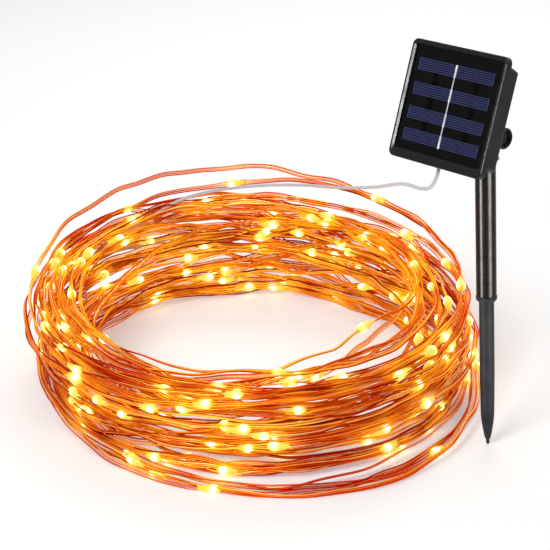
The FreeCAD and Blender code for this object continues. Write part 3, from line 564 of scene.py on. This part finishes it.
def lead_cable():
    """Two-core flex: a section like a figure eight, carried along the lead's line. At the angle a it is
    x = r cos a, moved out by a core's offset to the side where cos a points, and y = r sin a, pinched to
    the web's share where cos a is near 0."""
    line = lead_line()
    _, level, upright = frames(line)
    sides = 16
    angle = (np.arange(sides) + 0.5) * 2 * math.pi / sides
    core = LEAD_T / 2
    offset = LEAD_W / 2 - core
    across = np.sign(np.cos(angle)) * offset + core * np.cos(angle)
    pinch = LEAD_WEB + (1 - LEAD_WEB) * np.minimum(1, np.abs(np.cos(angle)) * 3)
    through = core * np.sin(angle) * pinch
    turned = math.radians(LEAD_TWIST)
    wide = math.cos(turned) * level + math.sin(turned) * upright
    thick = math.cos(turned) * upright - math.sin(turned) * level
    ring = across[:, None] * wide[:, None] + through[:, None] * thick[:, None]
    points = (line[:, None] + ring).reshape(-1, 3)
    made = piece("lead_flex", points, tube_faces(len(line), sides), MATERIALS["clear_pvc"])
    strands = 0.75 * np.exp(-((np.abs(across) - offset) / (0.5 * core)) ** 2)  # the grey line down each core
    mark(made, "core", np.tile(strands, len(line)))
    return made, line


lead, lead_path = lead_cable()


# ======== the light string ========
# Loose stretches: turn, angle in degrees, half-width in degrees, how far out and up in mm, and where
# the turn lies before it strays: its height share and kind.
LOOSE = [
    (57, 98, 46, 9, 26, 1.0, "outer"),  # the loop that springs up over the far rim
    (55, 66, 38, 5, 12, 0.97, "outer"),
    (54, 188, 26, 9, -4, 0.8, "outer"),  # left side
    (40, 168, 30, 9, 2, 0.5, "outer"),
    (50, -6, 24, 6, -2, 0.6, "outer"),  # right side
    (48, 12, 28, 7, 3, 0.35, "outer"),
    (46, -48, 20, -32, 2, 0.97, "inner"),  # the bundle that cuts across the hole at the lower right
    (44, -44, 21, -27, -4, 0.92, "inner"),
    (42, 160, 22, -22, -8, 0.88, "inner"),  # the single strand inside the hole at the left
    (2, -78, 40, 30, -12, 0.03, "outer"),  # the loose bundle low in front
    (4, -70, 34, 33, -12, 0.04, "outer"),
    (6, -62, 30, 25, -12, 0.05, "outer"),
    (8, -95, 36, 21, -10, 0.06, "outer"),
]
# For each kind of turn: where it lies between the inner and outer wall, and how far it swings
# from the outer wall on the near side to the inner wall on the far side.
KINDS = {"swung": (0.5, 0.5), "outer": (0.99, 0.0), "inner": (0.02, 0.0)}
KIND_ODDS = [0.8, 0.09, 0.11]
TOP_TURNS = 17  # turns that lie on the top, spread evenly between the walls
WALL_TOP, TOP_FROM, TOP_LOW = 0.94, 0.945, 0.95  # heights: the walls' highest, their end, the top's lowest
EASE = 0.28  # the part of a turn in which the string eases over to its next turn
DRIFT_UP, DRIFT_ACROSS, LATE_DRIFT_UP = 0.08, 0.09, 0.042  # how far it strays, as shares of the coil
SETTLING = 0.7  # how far the turns even out among their neighbours, as a share of the way
ROUNDING = 0.3  # how far the coil draws in at its top and at its foot, as a share of its width
KINK_ASIDE, KINK_UP = 0.9 * MM, 1.3 * MM  # how far its kinks go, as a rule
KINK_POINTS, KINK_FADE = 7, 0.12  # how long a kink is, in points of the line, and its fading, in metres
BEAD_L, BEAD_HALF_W, BEAD_HALF_T, BEAD_WEB = 18.0, 3.6, 3.4, 2.5  # a drop of resin and its web, in mm
WIRE_GAP, BEAD_GAP = 1.7, 2.3  # between the middles of two wires: along the string, and at a bead, in mm
BEAD_PARTING = 14 * MM  # how far from a bead the wires are still parted
TONE, PAINTED_TOP_LIGHT = 0.45, 0.36  # a wire's middle tone, and how much its top is painted lighter and its underside darker, as painted shade
TONE_DRIFTS = ((0.17, 30), (0.18, 220))  # how far its tone drifts, and over how many points of its line


def smooth_noise(count, width, source=rng):
    """Random values with a standard deviation of 1 that change over about width points."""
    raw = source.normal(size=count + 6 * width)
    kernel = np.hanning(2 * width + 1)
    even = np.convolve(raw, kernel, mode="same")[3 * width:3 * width + count]
    return even / even.std()


def loose_at(turn, angle):
    """The turn count at which a turn passes an angle."""
    return turn + (angle - SPLICE_ANGLE) % 360 / 360


def turn_plan():
    """For every turn: its height share, middle and swing, and where in the turn it eases over to the
    next. Heights are spread evenly and shuffled, and the highest turns are spread over the top."""
    count = TURNS + 2
    kinds = rng.choice(list(KINDS), size=count, p=KIND_ODDS)
    order = rng.permutation(count)
    wall = count - TOP_TURNS
    height = WALL_TOP * (order + rng.uniform(0.2, 0.8, count)) / wall
    middle = np.array([KINDS[kind][0] for kind in kinds])
    swing = np.array([KINDS[kind][1] for kind in kinds])
    top = order >= wall
    height[top] = rng.uniform(TOP_LOW, 1.0, TOP_TURNS)
    middle[top] = (order[top] - wall + rng.uniform(0.1, 0.9, TOP_TURNS)) / TOP_TURNS
    swing[top] = 0
    ease_at = rng.uniform(0.2, 0.8, count)
    for turn, angle, _, _, _, share, kind in LOOSE:
        own = round(loose_at(turn, angle))
        height[own] = share
        middle[own], swing[own] = KINDS[kind]
        ease_at[own - 1:own + 1] = 0.2, 0.8
    return height, middle, swing, ease_at


def settled(height, between):
    """Heights moved part of the way to even spacing among the turns that pass the same angle in the same
    wall, as wires slide into the gaps between their neighbours."""
    rows = len(height) // POINTS_PER_TURN
    grid = height[:rows * POINTS_PER_TURN].reshape(rows, POINTS_PER_TURN).copy()
    wall = between[:rows * POINTS_PER_TURN].reshape(rows, POINTS_PER_TURN) > 0.5
    for column in range(POINTS_PER_TURN):
        for outer in (True, False):
            own = np.flatnonzero((wall[:, column] == outer) & (grid[:, column] < TOP_FROM))
            order = np.argsort(np.argsort(grid[own, column]))
            even = TOP_FROM * (order + 0.5) / max(len(own), 1)
            grid[own, column] += SETTLING * (even - grid[own, column])
    return np.concatenate([grid.ravel(), height[rows * POINTS_PER_TURN:]])


def string_line():
    """The light string's smooth line: turn after turn, each at its own height and distance from the
    middle, easing over to the next turn's within part of a turn, with a random drift. A loose stretch is
    drawn away by a bell curve, and the ends come to the splice's sleeve and the end cap."""
    total = TURNS + (CAP_ANGLE - SPLICE_ANGLE) / 360
    count = int(total * POINTS_PER_TURN) + 1
    turn = np.linspace(0, total, count)
    sleeve_end = math.degrees(SPLICE_L / 2 / SPLICE_RADIUS) / 360
    cap_end = math.degrees(CAP_L / 2 / CAP_IN) / 360
    turn = sleeve_end + turn * (total - sleeve_end - cap_end) / total
    degrees = SPLICE_ANGLE + 360 * turn
    whole = np.floor(turn).astype(int)
    *plan, ease_at = turn_plan()
    ease = smoothstep((turn - whole - ease_at[whole] + EASE / 2) / EASE)
    height, middle, swing = (now[whole] * (1 - ease) + now[whole + 1] * ease for now in plan)
    height = height + DRIFT_UP * smooth_noise(count, 3)
    height = np.clip(height, 0, 1)
    side = np.clip(1.5 * np.sin(np.radians(degrees)), -1, 1)
    between = middle - swing * side + DRIFT_ACROSS * smooth_noise(count, 3)
    between = np.clip(between, 0.0, 1.0)
    height = settled(height, between) + LATE_DRIFT_UP * smooth_noise(count, 2)
    height = np.clip(height, 0, 1)
    between = 0.5 + (between - 0.5) * (1 - ROUNDING * np.abs(2 * height - 1) ** 8)
    radius = COIL_IN + (COIL_OUT - COIL_IN) * between
    _, y = oval(radius, degrees)
    top = COIL_TOP + COIL_SLOPE * (y - COIL_Y)
    z = STRING_LOW + (top - 2 * STRING_LOW) * height
    for at, angle, width, out, up, _, _ in LOOSE:
        pull = np.exp(-0.5 * ((turn - loose_at(at, angle)) * 360 / width) ** 2)
        radius = radius + out * MM * pull
        z = z + up * MM * pull
    held, leaving = 0.02, 0.14  # turns in which an end keeps its own place, and in which it leaves it
    for from_end, end_radius, end_z in ((turn, SPLICE_RADIUS, SPLICE_Z), (total - turn, CAP_IN, CAP_Z)):
        near = 1 - smoothstep((from_end - held) / leaving)
        radius = radius + (end_radius - radius) * near
        z = z + (end_z - z) * near
    x, y = oval(radius, degrees)
    z = np.maximum(z, STRING_LOW)
    return nurbs_line(np.column_stack([x, y, z]), steps=16)


def kinked(line):
    """The string's line with the small kinks that handling leaves in thin wire: line + n1 N + n2 B, with n1
    and n2 smooth noise that dies out at both ends, and none of it lower than KINK_LOW."""
    _, level, upright = frames(line)
    along = lengths_along(line)
    fade = smoothstep(np.minimum(along, along[-1] - along) / KINK_FADE)
    kinks = np.random.default_rng(11)
    aside, up = (
        size * fade * smooth_noise(len(line), KINK_POINTS, kinks) for size in (KINK_ASIDE, KINK_UP)
    )
    bent = line + aside[:, None] * level + up[:, None] * upright
    bent[:, 2] = np.maximum(bent[:, 2], KINK_LOW)
    return bent


def bead_places(along):
    """Where the beads sit: evenly spaced along the string, give or take a quarter of their spacing."""
    bare_start, bare_ends = 0.2, 0.3  # wire with no beads: at the start, and at both ends together
    gap = (along[-1] - bare_ends) / BEADS
    return bare_start + gap * (np.arange(BEADS) + 0.5 + rng.uniform(-0.28, 0.28, BEADS))


def bead_mesh(line, along, places, row):
    """Drops of resin round the three wires, which lie in a row along the direction that row gives. With s
    from 0 to 1 along a bead, its half-width is W sin(pi s^0.6)^0.8 plus a web that widens as s^8 between
    the parting wires, and its half-thickness is the first curve, thinner, and next to nothing of the web.
    The web's end is drawn in between the wires by f s^6 (1 - |cos a|) of the bead's length, a stepping
    round the bead."""
    rings, sides = 11, 10
    tangent, _, _ = frames(line)
    centre = np.stack([np.interp(places, along, line[:, k]) for k in range(3)], axis=1)
    ahead = unit(np.stack([np.interp(places, along, tangent[:, k]) for k in range(3)], axis=1))
    wide = np.stack([np.interp(places, along, row[:, k]) for k in range(3)], axis=1)
    wide = unit(wide - (wide * ahead).sum(1, keepdims=True) * ahead)
    thick = np.cross(ahead, wide)
    ahead = ahead * rng.choice([-1.0, 1.0], BEADS)[:, None]
    s = 0.5 - 0.5 * np.cos(np.linspace(0.03, 0.97, rings) * math.pi)
    drop = np.sin(math.pi * s ** 0.6) ** 0.8
    size = rng.uniform(0.9, 1.15, BEADS)[:, None]
    long = BEAD_L * MM * rng.uniform(0.88, 1.15, BEADS)[:, None]
    half_wide = (BEAD_HALF_W * drop + BEAD_WEB * s ** 8) * MM * size
    half_thick = (BEAD_HALF_T * drop + 0.2 * s) * MM * size
    angle = np.arange(sides) * 2 * math.pi / sides
    forked = (0.2 + 0.15 * np.sin(2.4 * np.arange(BEADS)))[:, None, None]
    middle = 0.36  # the bead's place on the string is this share of its length from its thick end
    x = (s[:, None] - middle - forked * s[:, None] ** 6 * (1 - np.abs(np.cos(angle)))) * long[:, None]
    points = (
        centre[:, None, None]
        + x[..., None] * ahead[:, None, None]
        + (half_wide[:, :, None] * np.cos(angle))[..., None] * wide[:, None, None]
        + (half_thick[:, :, None] * np.sin(angle))[..., None] * thick[:, None, None]
    )
    one = tube_faces(rings, sides)
    faces = [[corner + bead * rings * sides for corner in face] for bead in range(BEADS) for face in one]
    points[..., 2] = np.maximum(points[..., 2], BEAD_LOW)
    made = piece("lit_beads", points.reshape(-1, 3), faces, MATERIALS["bead_resin"])
    faced = 0.45 + 0.55 * np.sin(angle) ** 2  # the diode shows through the flat sides, less at the edges
    shine = np.exp(-(((s - 0.28) / 0.21) ** 2))[:, None] * faced
    mark(made, "shine", np.tile(shine.ravel(), BEADS))
    return made, centre


def wire_glow(line, centres):
    """How much painted light from the beads falls on each point of the string: the copper's material tints it
    yellow and makes it glow by this. The nearest bead, at d, gives it 0.9 exp(-(d / reach)^2), and
    0.06 exp(-(d / far)^2) for the light that spreads in the coil. The inner wall, where the light of the
    whole ring gathers, has 0.36 more, and a point between the walls the cube of its share of the way in,
    times that."""
    reach, far = 14 * MM, 28 * MM
    near_light, spread_light, ring_light = 0.9, 0.06, 0.36
    x, y = line[:, 0] - COIL_X, line[:, 1] - COIL_Y
    radius = np.hypot(x, y - COIL_SKEW * x)
    inward = ((COIL_OUT - radius) / (COIL_OUT - COIL_IN)).clip(0, 1)
    glow = np.zeros(len(line))
    for block in np.array_split(np.arange(len(line)), 40):
        away = np.linalg.norm(line[block][:, None] - centres[None], axis=2).min(1)
        glow[block] = near_light * np.exp(-((away / reach) ** 2))
        glow[block] += spread_light * np.exp(-((away / far) ** 2))
    return (glow + ring_light * inward ** 3).clip(0, 1)


def light_string():
    """The three wires of the string, side by side as a ribbon with a slow twist: line + k gap row, k from
    1 to -1. The outer two part at each bead, and the middle one runs through it. Each wire's tone drifts
    along it, over a few and over many centimetres. Each wire is painted lighter on top and darker below, as
    painted shade, and the middle wire is painted lighter than the outer two, as painted shading across the
    ribbon."""
    line = kinked(string_line())
    along = lengths_along(line)
    places = bead_places(along)
    count = len(line)
    _, level, upright = frames(line)
    twist = math.pi / 2 + 0.75 * smooth_noise(count, 60)
    row = np.cos(twist)[:, None] * level + np.sin(twist)[:, None] * upright
    gap = (WIRE_GAP + 0.22 * smooth_noise(count, 40)).clip(1.4, 2.2) * MM
    to_bead = np.abs(along[:, None] - places[None]).min(1)
    gap = gap + (BEAD_GAP * MM - gap) * np.exp(-((to_bead / BEAD_PARTING) ** 2))
    beads, centres = bead_mesh(line, along, places, row)
    glow = wire_glow(line, centres)
    wires = []
    sides = 6
    under = -np.sin(np.arange(sides) * 2 * math.pi / sides)  # 1 below the wire, -1 on top: the painted shade below and the painted highlight on top
    # ribbon_shade: the middle wire is painted lighter and the outer two darker, as painted shading across the
    # ribbon
    for name, way, ribbon_shade in (("wire_plus", 1, -0.22), ("wire_return", 0, 0.2), ("wire_minus", -1, -0.06)):
        wire = tube(name, line + way * gap[:, None] * row, WIRE_R, sides, MATERIALS["enamelled_copper"])
        tone = np.full(count, TONE)
        for size, points in TONE_DRIFTS:
            tone = tone + size * smooth_noise(count, points)
        mark(wire, "tone", (tone[:, None] + ribbon_shade - PAINTED_TOP_LIGHT * under).clip(0, 1).ravel())
        # the painted light from the beads, which the copper's material reads
        mark(wire, "glow", np.repeat(glow, sides))
        wires.append(wire)
    return wires, beads, line


(wire_a, *other_wires), beads, string_path = light_string()


# ======== the panel ========
def cell_tabs():
    """Strips of black tape over the joints between the cells, two in each gap: plates with a pillowed front,
    height h(u, v) = t (1 - u^6) (1 - v^6), u and v from -1 to 1."""
    thickness, half_wide, over_cell = 0.18 * MM, 2.3 * MM, 0.02 * MM
    apart, aside = 17.5 * MM, 1.5 * MM  # half the distance between the two, and how far they sit to one side
    steps = 8
    row = steps + 1
    grid = np.linspace(-1, 1, row)
    u, v = (part.ravel() for part in np.meshgrid(grid, grid, indexing="ij"))
    inside = (np.abs(u) < 1) & (np.abs(v) < 1)
    lift = thickness * np.where(inside, (1 - u ** 6) * (1 - v ** 6), 0)
    step = np.arange(steps)
    cell = step[:, None] * row + step
    front = np.stack([cell, cell + 1, cell + row + 1, cell + row], axis=-1).reshape(-1, 4)
    rim = np.concatenate([step, step * row + steps, row * row - 1 - step, (steps - step) * row])
    points, faces = [], []
    for low_top, high_top in zip(CELL_TOPS[1:], CELL_TOPS):
        gap_low, gap_high = low_top, high_top - CELL_H
        for side in (-1, 1):
            x = PANEL_X + side * apart + aside + half_wide * u
            z = (gap_low + gap_high) / 2 + (gap_high - gap_low) / 2 * v
            start = len(points) * len(u)
            points.append(np.column_stack([x, CELL_BACK_Y - over_cell - lift, z]))
            faces += (front + start).tolist() + [(rim[::-1] + start).tolist()]
    rotation, move = np.array(HEAD.to_3x3()), np.array(HEAD.translation)
    return piece("cell_joint_tapes", np.vstack(points) @ rotation.T + move, faces, TAPE)


# ======== ride, hide the replaced pieces, give materials ===
for made in (wire_a, *other_wires, beads):
    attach(made, "stake")
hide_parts("lead_cable")
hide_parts("light_string_coil")
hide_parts("led_beads")
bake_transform(lead)

for row in frame["record"]["subparts"]:
    node = frame["nodes"][row["node"]]
    node.data.materials.clear()
    node.data.materials.append(MATERIALS[row["material_slot"]])

tabs = cell_tabs()
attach(tabs, "head")


# ======== stage, light and camera ========
def looked_at(tree):
    """1 where a surface is seen, straight or in a shiny or clear one, and 0 for the light that it gives."""
    path = add(tree, "ShaderNodeLightPath").outputs
    seen = path["Is Camera Ray"]
    for other in ("Is Glossy Ray", "Is Transmission Ray"):
        seen = add(tree, "ShaderNodeMath", {0: seen, 1: path[other]}, "Value", operation="MAXIMUM")
    return seen


def stage():
    """A plain pale floor that keeps the object's shadow, and looks a little lighter than it is lit."""
    half, lift = 6.0, 0.28
    corners = np.array([(-half, -half, 0), (half, -half, 0), (half, half, 0), (-half, half, 0)])
    material, tree = new_material("pale_floor")
    matt = add(tree, "ShaderNodeBsdfDiffuse", {"Color": linear("#f7f7f6")}, "BSDF")
    light = add(tree, "ShaderNodeEmission", {"Color": linear("#ffffff"), "Strength": lift}, "Emission")
    lighter = add(tree, "ShaderNodeMixShader", {0: looked_at(tree), 2: light}, "Shader")
    both = add(tree, "ShaderNodeAddShader", {0: matt, 1: lighter}, "Shader")
    add(tree, "ShaderNodeOutputMaterial", {"Surface": both})
    floor = piece("floor", corners, [[0, 1, 2, 3]], material, smooth=False)


def daylight():
    """A soft grey world that is white where it is looked at or mirrored."""
    world = bpy.data.worlds.new("soft_world")
    bpy.context.scene.world = world
    world.use_nodes = True
    tree = world.node_tree
    tree.nodes.clear()
    soft, white = (
        add(tree, "ShaderNodeBackground", {"Color": linear("#ffffff"), "Strength": strength}, "Background")
        for strength in (0.42, 1.0)
    )
    mixed = add(tree, "ShaderNodeMixShader", {0: looked_at(tree), 1: soft, 2: white}, "Shader")
    add(tree, "ShaderNodeOutputWorld", {"Surface": mixed})


def pieces_in(slots):
    """The CAD pieces whose material is in one of the slots."""
    rows = frame["record"]["subparts"]
    return [frame["nodes"][row["node"]] for row in rows if row["material_slot"] in slots]


def softbox(name, place, target, width, height, watts, slots=()):
    """A rectangular lamp that faces a point. If it is for some slots, it lights their CAD pieces only."""
    lamp = bpy.data.lights.new(name, "AREA")
    lamp.shape = "RECTANGLE"
    lamp.size, lamp.size_y, lamp.energy = width, height, watts
    made = bpy.data.objects.new(name, lamp)
    made.location = place
    made.rotation_euler = (Vector(target) - Vector(place)).to_track_quat("-Z", "Y").to_euler()
    made.visible_camera = False
    if slots:
        lit = bpy.data.collections.new(name + "_lights_only")
        for thing in pieces_in(slots):
            lit.objects.link(thing)
        made.light_linking.receiver_collection = lit
    bpy.context.scene.collection.objects.link(made)


def camera():
    """Looks down at the stake and the coil from in front, turned a little about its own axis."""
    data = bpy.data.cameras.new("camera")
    data.lens, data.sensor_width = 104.5, 36.0
    elevation, roll, distance = math.radians(24.66), math.radians(4.0), 1.1
    target = Vector((-0.14584, 0.0, 0.14647))
    forward = Vector((0, math.cos(elevation), -math.sin(elevation)))
    right, down = Vector((1, 0, 0)), Vector((0, -math.sin(elevation), -math.cos(elevation)))
    across = right * math.cos(roll) + down * math.sin(roll)
    below = down * math.cos(roll) - right * math.sin(roll)
    made = bpy.data.objects.new("camera", data)
    made.matrix_world = Matrix.Translation(target - forward * distance) @ Matrix(
        (across, -below, -forward)
    ).transposed().to_4x4()
    bpy.context.scene.collection.objects.link(made)
    bpy.context.scene.camera = made


# Each lamp's name, place, the point that it faces, width, height, watts and slots. The two low lamps draw
# the streaks along the tube, and the last two draw the lines along the case's edges.
STAKE_SLOTS = ("spike_plastic", "collar_plastic", "tube_aluminium", "pin_steel")
CASE_SLOTS = ("case_plastic",)
LAMPS = [
    ("key", (-0.9, -0.9, 1.3), (-0.1, 0.1, 0.08), 0.7, 0.7, 12.5),
    ("back", (0.1, 1.2, 1.1), (-0.1, 0.1, 0.1), 1.0, 0.6, 5),
    ("low_left", (-0.86, -0.5, 0.18), (0.0, 0.0, 0.17), 0.3, 0.3, 54, STAKE_SLOTS),
    ("low_right", (0.58, -0.76, 0.17), (0.0, 0.0, 0.17), 0.5, 0.3, 56, STAKE_SLOTS),
    ("rim_right", (0.6, -0.74, 0.17), (0.0, 0.0, 0.25), 0.3, 0.3, 12, CASE_SLOTS),
    ("front", (-0.27, -1.10, 0.59), (-0.05, 0.02, 0.26), 0.08, 0.2, 7, CASE_SLOTS),
]

stage()
daylight()
for lamp in LAMPS:
    softbox(*lamp)
camera()
bpy.context.scene.view_settings.view_transform = "Standard"
